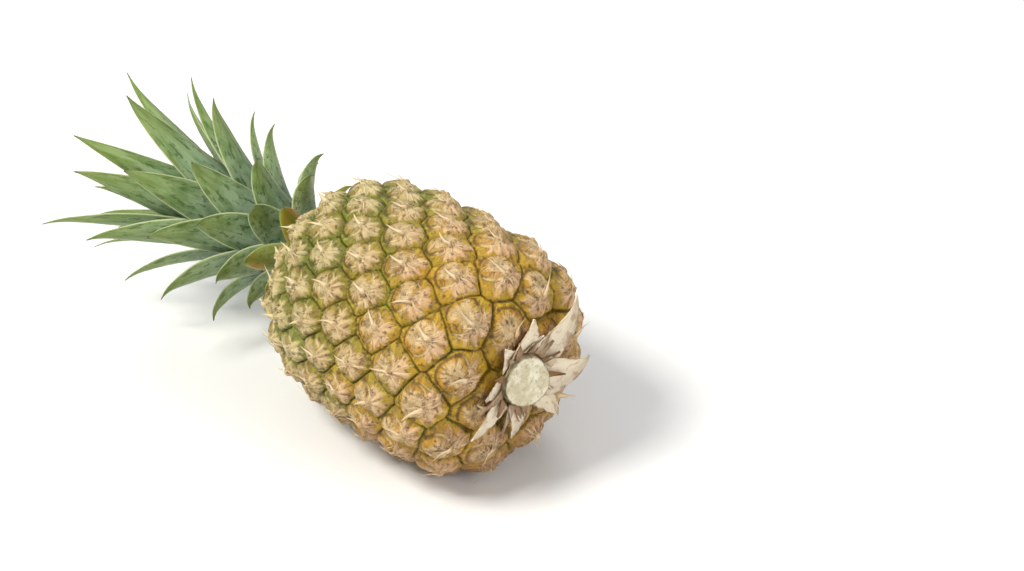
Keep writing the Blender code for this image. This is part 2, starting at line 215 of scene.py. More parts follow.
class Barrel:
    """The fruit's smooth form, as tables along its outline from crown to stalk."""

    def __init__(self):
        ease = np.linspace(0.0, 0.5 * math.pi, 420)
        crown = -CROWN_SIDE * np.cos(ease)
        stalk = STALK_SIDE * np.sin(ease)[1:]
        self.x = np.concatenate([crown, stalk])
        share = np.where(self.x < 0.0, -self.x / CROWN_SIDE, self.x / STALK_SIDE)
        power = np.where(self.x < 0.0, CROWN_POWER, STALK_POWER)
        self.r = FRUIT_R * np.clip(1.0 - share**power, 0.0, 1.0) ** (1.0 / ROUNDNESS)
        run = np.hypot(np.diff(self.x), np.diff(self.r))
        self.along = np.concatenate([[0.0], np.cumsum(run)])
        band = math.pi * (self.r[1:] + self.r[:-1]) * run
        skin = np.concatenate([[0.0], np.cumsum(band)])
        self.part = skin / skin[-1]
        self.skin = skin[-1]
        self.count = EYES * self.part * (1.0 + EYE_GROWTH * (1.0 - self.part))
        out_x = -np.gradient(self.r, self.along)
        out_r = np.gradient(self.x, self.along)
        length = np.hypot(out_x, out_r)
        self.out_x = out_x / length
        self.out_r = out_r / length

    def along_at(self, count):
        return np.interp(count, self.count, self.along)

    def radius_at(self, along):
        return np.interp(along, self.along, self.r)

    def eye_size(self, count):
        """Half the width of an eye there."""
        grown = 1.0 + EYE_GROWTH * (1.0 - 2.0 * np.interp(count, self.count, self.part))
        return 0.5 * np.sqrt(self.skin / (EYES * grown))

    def x_at_radius(self, radius):
        """Where the outline of the stalk end has that radius."""
        inside = max(0.0, 1.0 - (radius / FRUIT_R) ** ROUNDNESS)
        return STALK_SIDE * inside ** (1.0 / STALK_POWER)

    def place(self, along, angle, rise, reach=0.0):
        """Points that stand off the barrel by rise, and lean to the crown by reach."""
        out_x = np.interp(along, self.along, self.out_x)
        out_r = np.interp(along, self.along, self.out_r)
        x = np.interp(along, self.along, self.x) + rise * out_x - reach * out_r
        radius = self.radius_at(along) + rise * out_r + reach * out_x
        places = np.stack([x, radius * np.sin(angle), radius * np.cos(angle)], axis=1) + SHIFT
        places[:, 2] = np.maximum(places[:, 2], 0.0)
        return places


def eye_angle(one_way, other_way):
    """The angle reached by whole and part steps along the two sets of rows."""
    step_one = ROWS_ONE_WAY * GOLDEN - 3.0 * 2.0 * math.pi
    step_other = ROWS_OTHER_WAY * GOLDEN - 5.0 * 2.0 * math.pi
    return FIRST_ANGLE + one_way * step_one + other_way * step_other


BARREL = Barrel()
SHIFT = np.array([CENTRE_X, CENTRE_Y, FRUIT_R - REST_DEPTH])
EYE_NUMBER = np.arange(0, EYES + 1)
EYE_ALONG = BARREL.along_at(EYE_NUMBER)
EYE_RADIUS = BARREL.radius_at(EYE_ALONG)
EYE_TURN = FIRST_ANGLE + GOLDEN * EYE_NUMBER
EYE_SIZE = BARREL.eye_size(EYE_NUMBER)
EYE_LUCK = np.random.default_rng(SEED).uniform(-1.0, 1.0, (EYES + 1, 6))


def fractal(points, scale, octaves, seed=0.0):
    """Cloudy noise from about -1 to 1 at each point."""
    shift = Vector((seed, 1.7 * seed, -seed))
    return np.array([noise.fractal(Vector(p) * scale + shift, 0.9, 2.1, octaves) for p in points])


def eye_field(along, angle):
    """For each point: how far it is inside its eye, its place on that eye, and which.

    An eye is round on its crown side and runs to a point on its stalk side, so the
    seams curve round each dome as they do between scales that overlap.
    """
    radius = BARREL.radius_at(along)
    quick = np.sin(along / (2.1 * MM) + 5.0 * angle)
    slow = np.sin(17.0 * angle - along / (4.7 * MM))
    along = along + WANDER * (quick + slow)
    quick = np.sin(along / (1.7 * MM))
    slow = np.sin(13.0 * angle + along / (3.1 * MM))
    angle = angle + WANDER / radius * (quick + slow)
    best = np.full(len(along), 99.0)
    second = np.full(len(along), 99.0)
    forward = np.zeros(len(along))
    sideways = np.zeros(len(along))
    number = np.zeros(len(along), dtype=int)
    for eye in EYE_NUMBER:
        ahead = (along - EYE_ALONG[eye]) / EYE_SIZE[eye]
        turn = turned(angle - EYE_TURN[eye])
        aside = radius * turn / EYE_SIZE[eye]
        distance = np.hypot(ahead - ROUND_AT, aside)
        distance = distance - POINTED * 0.5 * (1.0 + (ahead - ROUND_AT) / (distance + 0.01))
        closer = distance < best
        second = np.where(closer, best, np.minimum(second, distance))
        forward = np.where(closer, ahead, forward)
        sideways = np.where(closer, aside, sideways)
        number = np.where(closer, eye, number)
        best = np.where(closer, distance, best)
    return second - best, forward, sideways, number


def rind_form(along, angle):
    """Height of the rind over the barrel, and the masks that its finish follows."""
    inside, forward, sideways, number = eye_field(along, angle)
    luck = EYE_LUCK[number]
    wall = smooth(inside, 0.0, SEAM_SHARE)
    best = np.minimum(np.hypot(forward, sideways), 1.3)
    rise = -SEAM_DEPTH * (1.0 - wall) - EYE_FALL * best**2 - EYE_TILT * forward
    rise += EYE_UNEVEN * luck[:, 0] * wall

    # The rounded dome of the sepals, on the crown side of each eye
    dome_f = (forward - DOME_AT + 0.05 * luck[:, 1]) / (DOME_LONG + 0.04 * luck[:, 3])
    dome_s = (sideways - 0.08 * luck[:, 2]) / DOME_WIDE
    ring = np.hypot(dome_f, dome_s)
    around = np.arctan2(dome_s, dome_f)
    dome = np.sqrt(np.clip(1.0 - ring**2, 0.0, 1.0))
    notches = np.sin(19.0 * around + 9.0 * luck[:, 3])
    parting = hump(dome_s + 0.25 * luck[:, 1] * dome_f, 0.10 * luck[:, 3], 0.11)
    parting = np.maximum(parting, 0.6 * hump(around - 0.9 * luck[:, 1], 0.0, 0.12))
    rise += (DOME_RISE + DOME_UNEVEN * luck[:, 5]) * dome * wall * (1.0 - 0.42 * parting)
    rise -= GROOVE_DEPTH * hump(ring, 1.04, 0.12) * wall
    rise += NOTCH_RISE * notches * hump(ring, 0.92, 0.16) * wall

    # The folds of the bract, which run out as a star from the middle of each eye
    out = forward - STAR_AT
    reach = np.hypot(out, sideways)
    turn = np.arctan2(sideways, out)
    fold = np.zeros(len(along))
    arm = np.zeros(len(along))
    for order, middle in enumerate(STAR_ANGLES):
        bend = middle + 0.22 * luck[:, order % 6] + 0.25 * luck[:, (order + 2) % 6] * reach
        off = np.abs(turned(turn - bend)) * reach
        size = 1.0 - 0.55 * smooth(np.abs(middle), 0.9, 1.9)
        fold = np.maximum(fold, size * hump(off, 0.0, 0.07) * smooth(reach, 1.25, 0.3))
        broad = 0.30 * (1.0 + 0.4 * luck[:, (order + 3) % 6]) * (1.1 - 0.5 * reach)
        arm = np.maximum(arm, size * np.clip(1.0 - off / broad, 0.0, 1.0) * smooth(reach, 1.15, 0.5))
    crease = np.sin(13.0 * turn + 6.0 * luck[:, 4]) * smooth(reach, 0.1, 0.4)
    rise += (ARM_RISE * arm + FOLD_RISE * fold) * wall
    rise += CREASE_RISE * crease * smooth(out, -0.12, 0.10) * smooth(best, 1.2, 0.6)
    rise += STAR_RISE * hump(reach, 0.0, 0.20)

    pole = smooth(BARREL.radius_at(along), POLE_R, POLE_R + POLE_FADE)
    masks = {
        "forward": forward,
        "sideways": sideways,
        "wall": wall * pole + 1.0 - pole,
        "ring": np.clip(ring, 0.0, 2.0) * 0.5,
        "fold": fold,
        "arm": arm,
        "chance": 0.5 + 0.5 * luck[:, 4],
        "ripe": np.interp(along, BARREL.along, BARREL.part),
    }
    return rise * pole, masks


def piece(name, verts, faces, masks, material, node):
    """A mesh piece with its point masks, which rides on the part and replaces a node."""
    data = bpy.data.meshes.new(name)
    data.from_pydata([tuple(v) for v in verts], [], faces)
    for title, values in masks.items():
        layer = data.attributes.new(title, "FLOAT", "POINT")
        layer.data.foreach_set("value", np.asarray(values, dtype=np.float32))
    data.shade_smooth()
    data.materials.append(material)
    item = bpy.data.objects.new(name, data)
    bpy.context.scene.collection.objects.link(item)
    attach(item, "root")
    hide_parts(node)
    return item


def make_rind(material):
    """The whole skin on a grid that runs along both sets of eye rows."""
    index = {}
    one_way = []
    other_way = []
    turn = ROWS_OTHER_WAY * RIND_STEPS
    back = ROWS_ONE_WAY * RIND_STEPS
    for p in range(turn):
        low = math.ceil((FIRST_STEP * RIND_STEPS - ROWS_ONE_WAY * p) / ROWS_OTHER_WAY)
        high = math.floor((LAST_STEP * RIND_STEPS - ROWS_ONE_WAY * p) / ROWS_OTHER_WAY)
        for q in range(low, high + 1):
            index[(p, q)] = len(one_way)
            one_way.append(p / RIND_STEPS)
            other_way.append(q / RIND_STEPS)
    one_way = np.array(one_way)
    other_way = np.array(other_way)
    along = BARREL.along_at(ROWS_ONE_WAY * one_way + ROWS_OTHER_WAY * other_way)
    angle = eye_angle(one_way, other_way)
    rise, masks = rind_form(along, angle)
    smooth_places = BARREL.place(along, angle, 0.0 * rise)
    rough = fractal(smooth_places, 240.0, 3, 3.1)
    crease = np.abs(fractal(smooth_places, 380.0, 2, 8.4))
    rise += ROUGH_RISE * rough - PIT_DEPTH * crease
    places = BARREL.place(along, angle, rise)

    faces = []
    for p, q in index:
        here = index[(p, q)]
        beside = (0, q + back) if p + 1 == turn else (p + 1, q)
        right = index.get(beside)
        far = index.get((beside[0], beside[1] + 1))
        up = index.get((p, q + 1))
        if far is None:
            continue
        if right is not None:
            faces.append((here, right, far))
        if up is not None:
            faces.append((here, far, up))

    # The open rims at both ends are closed by a fan to a hub
    rims = {}
    for face in faces:
        for start, end in zip(face, face[1:] + face[:1]):
            if (end, start) in rims:
                del rims[(end, start)]
            else:
                rims[(start, end)] = True
    verts = list(places)
    for x in (-CROWN_SIDE, STALK_SIDE):
        verts.append(np.array([x, 0.0, 0.0]) + SHIFT)
    for start, end in rims:
        hub = len(places) + (1 if places[start][0] > SHIFT[0] else 0)
        faces.append((end, start, hub))
    for title in masks:
        masks[title] = np.concatenate([masks[title], np.zeros(2)])
    outward = [face[::-1] for face in faces]
    return piece("rind", verts, outward, masks, material, "fruit")


def shell_faces(rows, columns, first):
    """Quads of a closed slab: a top sheet, then a bottom sheet of as many points."""
    faces = []
    sheet = rows * columns

    def at(row, column):
        return first + row * columns + column

    for row in range(rows - 1):
        for column in range(columns - 1):
            a, b = at(row, column), at(row, column + 1)
            c, d = at(row + 1, column + 1), at(row + 1, column)
            faces.append((a, b, c, d))
            faces.append((d + sheet, c + sheet, b + sheet, a + sheet))
    for row in range(rows - 1):
        for column, order in ((0, 1), (columns - 1, -1)):
            low = (at(row, column), at(row + 1, column))
            quad = (*low, low[1] + sheet, low[0] + sheet)
            faces.append(quad[::order])
    for column in range(columns - 1):
        for row, order in ((0, -1), (rows - 1, 1)):
            low = (at(row, column), at(row, column + 1))
            quad = (*low, low[1] + sheet, low[0] + sheet)
            faces.append(quad[::order])
    return faces


class Strands:
    """Thin tapered blades on the rind: spikes, folds, flakes and loose fibres."""

    def __init__(self):
        self.faces = []
        self.count = 0
        self.spots = {"along": [], "angle": [], "extra": [], "lean": []}
        self.seats = {"along": [], "angle": []}
        self.masks = {"pale": [], "share": [], "ripe": []}

    def add(self, eye, start, turn, length, bend, width, thick, lift, lean, pale, point=1.7):
        """One blade from a place on the eye; lengths in half eye widths, the rest in metres."""
        size = EYE_SIZE[eye]
        share = np.linspace(0.0, 1.0, STRAND_ROWS)
        heading = turn + bend * share
        forward = start[0] + length * np.cumsum(np.cos(heading)) / STRAND_ROWS
        sideways = start[1] + length * np.cumsum(np.sin(heading)) / STRAND_ROWS
        taper = (1.0 - share**point) * width + STRAND_TIP
        middle = EYE_ALONG[eye] + size * forward
        seat_angle = EYE_TURN[eye] + size * sideways / BARREL.radius_at(middle)
        height = FRUIT_R - REST_DEPTH + BARREL.radius_at(middle) * np.cos(seat_angle)
        if height.min() < STRANDS_FROM:
            return
        for side, above in ((-1.0, 0.0), (0.0, 1.0), (1.0, 0.0), (0.0, -1.0)):
            f = forward - np.sin(heading) * side * 0.5 * taper / size
            s = sideways + np.cos(heading) * side * 0.5 * taper / size
            along = EYE_ALONG[eye] + size * f
            self.seats["along"].append(middle)
            self.seats["angle"].append(seat_angle)
            self.spots["along"].append(along)
            self.spots["angle"].append(EYE_TURN[eye] + size * s / BARREL.radius_at(along))
            over = lift * share**1.3 - STRAND_SINK * (1.0 - share)
            self.spots["extra"].append(over + above * thick * (1.0 - 0.6 * share))
            self.spots["lean"].append(lean * share)
        rows = STRAND_ROWS
        first = self.count
        for row in range(rows - 1):
            for side in range(4):
                a = first + side * rows + row
                b = first + ((side + 1) % 4) * rows + row
                self.faces.append((a, b, b + 1, a + 1))
        self.faces.append(tuple(first + side * rows for side in (3, 2, 1, 0)))
        self.faces.append(tuple(first + side * rows + rows - 1 for side in (0, 1, 2, 3)))
        self.count += 4 * rows
        self.masks["pale"].append(np.full(4 * rows, pale))
        self.masks["share"].append(np.tile(share, 4))
        ripe = np.interp(EYE_ALONG[eye], BARREL.along, BARREL.part)
        self.masks["ripe"].append(np.full(4 * rows, ripe))

    def add_loose(self, chance, eye, toward, ranges, thick, free, lean=0.0):
        """A blade with numbers drawn from its ranges; a range of one number isn't drawn."""
        drawn = [chance.uniform(*span) if len(span) == 2 else span[0] for span in ranges]
        ahead, aside, swing, length, bend, width, lift, pale = drawn
        self.add(eye, (ahead, aside), toward + swing, length, bend, width * MM, thick,
                 lift * MM * free, lean, pale)

    def places(self):
        """All the points, seated on the rind under the middle line of their blade."""
        seat = rind_form(np.concatenate(self.seats["along"]), np.concatenate(self.seats["angle"]))[0]
        along, angle, extra, lean = (np.concatenate(parts) for parts in self.spots.values())
        return BARREL.place(along, angle, seat + extra, lean)


def make_eye_bracts(material):
    """The papery tip of each eye's bract, its folded ribs, torn flakes and frayed fibres."""
    strands = Strands()
    chance = random.Random(SEED + 5)
    for eye in EYE_NUMBER[2:-1]:
        if EYE_RADIUS[eye] < 1.5 * POLE_R:
            continue
        luck = EYE_LUCK[eye]
        height = FRUIT_R - REST_DEPTH + EYE_RADIUS[eye] * math.cos(EYE_TURN[eye])
        free = float(smooth(EYE_RADIUS[eye], SPIKE_FREE_R - 6.0 * MM, SPIKE_FREE_R))
        free *= float(smooth(height, 0.0, PRESSED_BELOW))
        room = min(max(FRUIT_R - EYE_RADIUS[eye] - ROOM_FROM, 0.0), ROOM_MOST)
        crownward = math.pi + 0.45 * luck[0]
        big = 0.6 + 0.4 * min(EYE_SIZE[eye] / (9.0 * MM), 1.2)
        width = (SPIKE_WIDTH + 1.1 * MM * luck[4]) * big
        lift = (SPIKE_LIFT + 1.4 * MM * luck[3] + 0.55 * room) * free
        strands.add(eye, (STAR_AT + 0.26, 0.0), crownward, 1.0 + 0.22 * luck[1], 0.9 * luck[5],
                    width, 0.16 * MM, lift, SPIKE_LEAN * free, 1.0, SPIKE_POINT)

        for number in range(2):
            strands.add_loose(chance, eye, crownward, FRAYED_END, 0.13 * MM, free, 0.5 * MM * free)
        for order, angle in enumerate(STAR_ANGLES[:3]):
            toward = angle + 0.22 * luck[order % 6]
            ranges = ((STAR_AT,), (0.05 * luck[2],), *RIB)
            strands.add_loose(chance, eye, toward, ranges, 0.20 * MM, 1.0)
        for number in range(4):
            strands.add_loose(chance, eye, math.pi, FIBRE, 0.12 * MM, free)
        for number in range(2):
            strands.add_loose(chance, eye, math.pi, FLAKE, 0.15 * MM, 1.0)
    masks = {title: np.concatenate(parts) for title, parts in strands.masks.items()}
    return piece("eye_bracts", strands.places(), strands.faces, masks, material, "fruit")


def crown_foot():
    """Where the crown's stem stands on the fruit."""
    return Vector((-CROWN_SIDE - GAP, 0.0, 0.0)) + Vector(SHIFT)


def crown_axes(seat):
    """The crown's axis at that height, square on the fruit and then leaning over."""
    lean = min(seat / LEANS_FROM, 1.0)
    axis = Vector((-1.0, lean * math.tan(CROWN_YAW), lean * math.tan(CROWN_RISE))).normalized()
    side = Vector((0.0, 1.0, 0.0))
    side = (side - axis * side.dot(axis)).normalized()
    up = side.cross(axis)
    if up.z < 0.0:
        up = -up
    return axis, side, up


def core_radius(seat):
    """The stem's radius at that height over the fruit."""
    return CORE_R + (CORE_TOP_R - CORE_R) * seat / CORE_LENGTH


def leaf_plan(number, chance):
    """One leaf's angle round the crown, seat, lean, length and width by its number."""
    wobble = chance.uniform(-1.0, 1.0)
    stretch = chance.uniform(-1.0, 1.0)
    swing = chance.uniform(-1.0, 1.0)
    if number < -SCALES:
        share = (number + SCALES + NECK_SCALES) / NECK_SCALES
        lean = math.radians(70.0 + 8.0 * wobble)
        lean_root = 0.85
        length = (12.0 + 5.0 * share + 2.0 * stretch) * MM
        width = (10.0 + 2.0 * share) * MM
        seat = (0.6 + 0.7 * share) * MM
        point = 2.6
    elif number < 0:
        share = (number + SCALES) / SCALES
        lean = math.radians(84.0 - 16.0 * share + 3.0 * wobble)
        lean_root = 0.9 - 0.2 * share
        length = (19.0 + 21.0 * share + 2.0 * stretch) * MM
        width = (13.0 + 5.0 * share) * MM
        seat = (1.6 + 1.4 * share) * MM
        point = 2.8
    elif number >= LEAVES:
        share = (number - LEAVES) / HEART_LEAVES
        lean = math.radians(10.0 - 7.0 * share)
        lean_root = 0.3
        length = (56.0 - 24.0 * share) * MM
        width = (15.0 - 5.0 * share) * MM
        seat = (24.0 + 1.0 * share) * MM
        point = 2.1
    else:
        share = number / (LEAVES - 1.0)
        grown = min(share / 0.82, 1.0)
        lean = math.radians(14.0 + 54.0 * (1.0 - share) ** 1.43 + 4.0 * wobble)
        lean_root = 0.6
        length = (37.0 + 84.0 * grown**1.15 - 220.0 * max(share - 0.82, 0.0) + 4.0 * stretch) * MM
        width = (19.5 + 7.5 * grown - 30.0 * max(share - 0.7, 0.0)) * MM
        seat = (3.0 + 21.0 * share) * MM
        point = 3.5 - 1.4 * grown
    return {
        "angle": LEAF_PHASE - GOLDEN * number + math.radians(5.0) * wobble,
        "seat": seat,
        "lean": lean,
        "lean_root": lean * lean_root,
        "length": length,
        "width": width,
        "point": point,
        "swing": math.radians(6.0) * swing,
        "hook": math.radians(58.0 - 42.0 * min(max(number / 22.0, 0.0), 1.0)),
    }


def leaf_sheet(plan, luck):
    """The points of one leaf: its hollow front sheet, then its back sheet."""
    axis, side, up = crown_axes(plan["seat"])
    away = side * math.sin(plan["angle"]) + up * math.cos(plan["angle"])
    across = away.cross(axis).normalized()
    root = ROOT_SHARE * core_radius(plan["seat"])
    place = crown_foot() + axis * plan["seat"] + away * root
    lean_root = plan["lean_root"]
    lean_tip = lean_root + 2.2 * (plan["lean"] - lean_root)
    fronts = []
    backs = []
    stride = plan["length"] / (LEAF_ROWS - 1)
    for row in range(LEAF_ROWS):
        share = row / (LEAF_ROWS - 1)
        hook = plan["hook"] * max(share - 0.86, 0.0) / 0.14
        lean = lean_root + (lean_tip - lean_root) * share**1.2 + hook
        swing = plan["swing"] * share
        ahead = axis * math.cos(lean) + away * math.sin(lean) + across * math.sin(swing)
        ahead.normalize()
        held = place.copy()
        if held.z < 3.0 * LEAF_FLOOR:
            drop = (held.z - LEAF_FLOOR) / LEAF_FLOOR
            held.z = LEAF_FLOOR * (1.0 + 0.5 * (drop + math.sqrt(drop * drop + 0.6)))
        flat = min(max((held.z - LEAF_FLOOR) / (4.0 * LEAF_FLOOR), 0.0), 1.0)
        wide = Vector((across.x, across.y, across.z * flat)).normalized()
        face = ahead.cross(wide).normalized()
        if face.dot(axis) < 0.0:
            face = -face
        taper = (1.0 - share ** plan["point"]) * min(1.0, 0.72 + 1.2 * share)
        width = max(plan["width"] * taper, 0.5 * MM)
        cup = 0.17 * width
        thick = (0.35 + 0.75 * (1.0 - share)) * MM
        for column in range(LEAF_COLUMNS):
            v = -1.0 + 2.0 * column / (LEAF_COLUMNS - 1)
            edge = abs(v) ** 3
            wave = 0.5 * MM * edge * math.sin(9.0 * share + 5.0 * luck + 1.3 * v)
            wave *= min(1.0, 4.0 * (1.0 - share))
            rib = thick * (1.0 - 0.72 * v * v)
            bowl = cup * v * v * (1.15 - 0.15 * v * v)
            middle = held + wide * (0.5 * width * v) + face * (bowl + wave)
            fronts.append(middle + face * (0.5 * rib))
            backs.append(middle - face * (0.5 * rib))
        place = place + ahead * stride
    return fronts + backs


def make_crown(material):
    """All the leaves of the crown: outer ones, heart leaves and scales at the neck."""
    chance = random.Random(SEED)
    verts = []
    faces = []
    masks = {"across": [], "length": [], "front": [], "chance": [], "age": []}
    rows = np.repeat(np.linspace(0.0, 1.0, LEAF_ROWS), LEAF_COLUMNS)
    columns = np.tile(np.linspace(-1.0, 1.0, LEAF_COLUMNS), LEAF_ROWS)
    numbers = list(range(-SCALES, LEAVES + HEART_LEAVES))
    numbers.extend(range(-SCALES - NECK_SCALES, -SCALES))
    for number in numbers:
        plan = leaf_plan(number, chance)
        luck = (number * 0.61803 + 10.0) % 1.0
        first = len(verts)
        verts.extend(leaf_sheet(plan, luck))
        faces.extend(shell_faces(LEAF_ROWS, LEAF_COLUMNS, first))
        for front in (1.0, 0.0):
            masks["across"].append(columns)
            masks["length"].append(rows)
            masks["front"].append(np.full(len(rows), front))
            masks["chance"].append(np.full(len(rows), luck))
            masks["age"].append(np.full(len(rows), (number + SCALES) / (LEAVES + SCALES)))
    masks = {title: np.concatenate(parts) for title, parts in masks.items()}
    return piece("crown_leaves", verts, faces, masks, material, "crown")


def ring_faces(rings, sides):
    """Quads between rings of equal count, and a fan over each end."""
    faces = []
    for ring in range(rings - 1):
        for side in range(sides):
            after = (side + 1) % sides
            low = ring * sides
            faces.append((low + side, low + after, low + sides + after, low + sides + side))
    faces.append(tuple(reversed(range(sides))))
    faces.append(tuple(range((rings - 1) * sides, rings * sides)))
    return faces


def make_crown_stem(material):
    """The short stem that carries the leaves, yellow at its foot as the neck scales are."""
    shares = (0.0, 0.04, 0.12, 0.25, 0.4, 0.6, 0.8, 0.95, 1.0)
    verts = []
    for share in shares:
        axis, side, up = crown_axes(CORE_LENGTH * share)
        radius = core_radius(CORE_LENGTH * share) * (0.5 if share == 1.0 else 1.0)
        middle = crown_foot() + axis * (CORE_LENGTH * share)
        for number in range(CORE_SIDES):
            angle = 2.0 * math.pi * number / CORE_SIDES
            verts.append(middle + (side * math.sin(angle) + up * math.cos(angle)) * radius)
    count = len(verts)
    masks = {title: np.zeros(count) for title in ("across", "length", "front", "chance")}
    masks["age"] = np.repeat(np.minimum(3.0 * np.array(shares), 1.0), CORE_SIDES)
    faces = ring_faces(len(shares), CORE_SIDES)
    return piece("crown_stem", verts, faces, masks, material, "crown")


def stalk_point(x, radius, angle, across=0.0):
    """A point round the stalk, whose line sits a little off the fruit's axis."""
    y = STALK_ASIDE + radius * math.sin(angle) + across * math.cos(angle)
    z = STALK_ABOVE + radius * math.cos(angle) - across * math.sin(angle)
    return Vector((x, y, z)) + Vector(SHIFT)


def make_stalk(material):
    """The cut stump: a ribbed, dented side and a rough fibrous cut face."""
    verts = []
    radial = []
    cut = []
    low = STALK_SIDE + GAP
    rings = []
    for band in range(STALK_BANDS + 1):
        share = band / STALK_BANDS
        rings.append((share * STALK_OUT * RIM_AT, 1.0, 0.0))
    for band in range(1, FACE_BANDS + 1):
        share = 1.0 - band / (FACE_BANDS + 0.5)
        out = RIM_AT + (1.0 - RIM_AT) * min(1.0, 8.0 * (1.0 - share))
        rings.append((STALK_OUT * out, share, 1.0))
    for out, share, face in rings:
        for number in range(STALK_SIDES):
            angle = 2.0 * math.pi * number / STALK_SIDES
            point = Vector((out * 60.0, math.sin(angle) * share * 3.0, math.cos(angle) * share * 3.0))
            rough = noise.fractal(point * 1.3, 0.8, 2.1, 3)
            radius = STALK_R * share * (1.0 + 0.03 * math.sin(3.0 * angle + 1.0))
            radius -= 0.5 * MM * (1.0 - face) * abs(rough)
            fray = noise.fractal(Vector((17.0 * math.sin(angle), 17.0 * math.cos(angle), 3.0)), 0.9, 2.1, 3)
            radius += 0.5 * MM * fray * smooth(share, 0.86, 1.0) * smooth(out, 0.6 * STALK_OUT, STALK_OUT)
            x = low + out + face * 0.35 * MM * rough + face * 0.6 * MM * smooth(share, 1.0, 0.6)
            height = 0.5 - 0.5 * radius / STALK_R * math.cos(angle - CUT_TOWARD)
            x = low + (min(x, low + STALK_OUT) - low) * (CUT_LOW + (1.0 - CUT_LOW) * height)
            verts.append(stalk_point(x, radius, angle))
            radial.append(share)
            cut.append(face)
    masks = {"radial": radial, "cut": cut}
    faces = ring_faces(len(rings), STALK_SIDES)
    return piece("stalk_stump", verts, faces, masks, material, "stalk")


def dry_blade(number, angle, root, tip, broad, lift, lift_power, curl):
    """One papery blade: its outer and its inner sheet, and where each point sits on it."""
    outer = []
    inner = []
    across = []
    length = []
    for row in range(COLLAR_ROWS):
        share = row / (COLLAR_ROWS - 1)
        radius = root + (tip - root) * share
        ragged = 1.0 + 0.10 * noise.fractal(Vector((8.0 * share, 2.0, 5.0 * number)), 0.9, 2.1, 3)
        width = max(broad * (1.0 - share**1.05) * (1.0 + 0.35 * share) * ragged, 0.5 * MM)
        for column in range(COLLAR_COLUMNS):
            v = -1.0 + 2.0 * column / (COLLAR_COLUMNS - 1)
            rise = GAP + 0.35 * MM + lift * share**lift_power + 0.05 * MM * number
            rise += curl * width * abs(v) ** 2.4 * (0.35 + 0.65 * share)
            rise += 0.5 * MM * math.sin(4.0 * v + 5.0 * share + 2.0 * number) * share
            rise += 0.3 * MM * abs(noise.noise(Vector((5.0 * v, 7.0 * share, 3.0 * number))))
            bent = 0.5 * width * v + 0.30 * broad * math.sin(1.7 * number + 0.6) * share**2
            spot = stalk_point(rise, radius, angle, bent)
            spot.x += BARREL.x_at_radius(math.hypot(spot.y - SHIFT[1], spot.z - SHIFT[2]))
            thick = Vector((0.2 * MM, 0.0, 0.0))
            outer.append(spot + thick)
            inner.append(spot - thick)
            across.append(v)
            length.append(share)
    return outer, inner, across, length


def make_base_bracts(material):
    """The dry papery leaves round the stump, with brown scraps torn from their roots."""
    blades = []
    for number in range(BRACT_COUNT):
        angle = BRACT_PHASE + GOLDEN * number
        tip = STALK_R + BRACT_REACH[number] * MM
        broad = BRACT_WIDTH * BRACT_BROAD[number]
        curl = 0.30 + 0.14 * math.sin(2.3 * number)
        lift = BRACT_LIFT[number] * MM
        blades.append((angle, SLEEVE_R + 0.3 * MM, tip, broad, lift, LIFT_POWER, curl, 0.0))
    chance = random.Random(SEED + 9)
    for number in range(SCRAPS):
        angle = BRACT_PHASE + GOLDEN * (number + 0.37)
        tip = STALK_R + chance.uniform(7.0, 18.0) * MM
        broad = chance.uniform(3.0, 6.5) * MM
        lift = chance.uniform(2.0, 4.5) * MM
        blades.append((angle, SLEEVE_R + 0.2 * MM, tip, broad, lift, 1.0, 0.4, chance.uniform(0.5, 1.0)))
    verts = []
    faces = []
    masks = {"across": [], "length": [], "chance": [], "brown": []}
    for number, (angle, root, tip, broad, lift, power, curl, brown) in enumerate(blades):
        outer, inner, across, length = dry_blade(number, angle, root, tip, broad, lift, power, curl)
        faces.extend(shell_faces(COLLAR_ROWS, COLLAR_COLUMNS, len(verts)))
        verts.extend(outer)
        verts.extend(inner)
        count = 2 * len(outer)
        masks["across"].extend(across + across)
        masks["length"].extend(length + length)
        masks["chance"].extend([(number * 0.61803) % 1.0] * count)
        masks["brown"].extend([brown] * count)
    return piece("dry_collar", verts, faces, masks, material, "base_bracts")


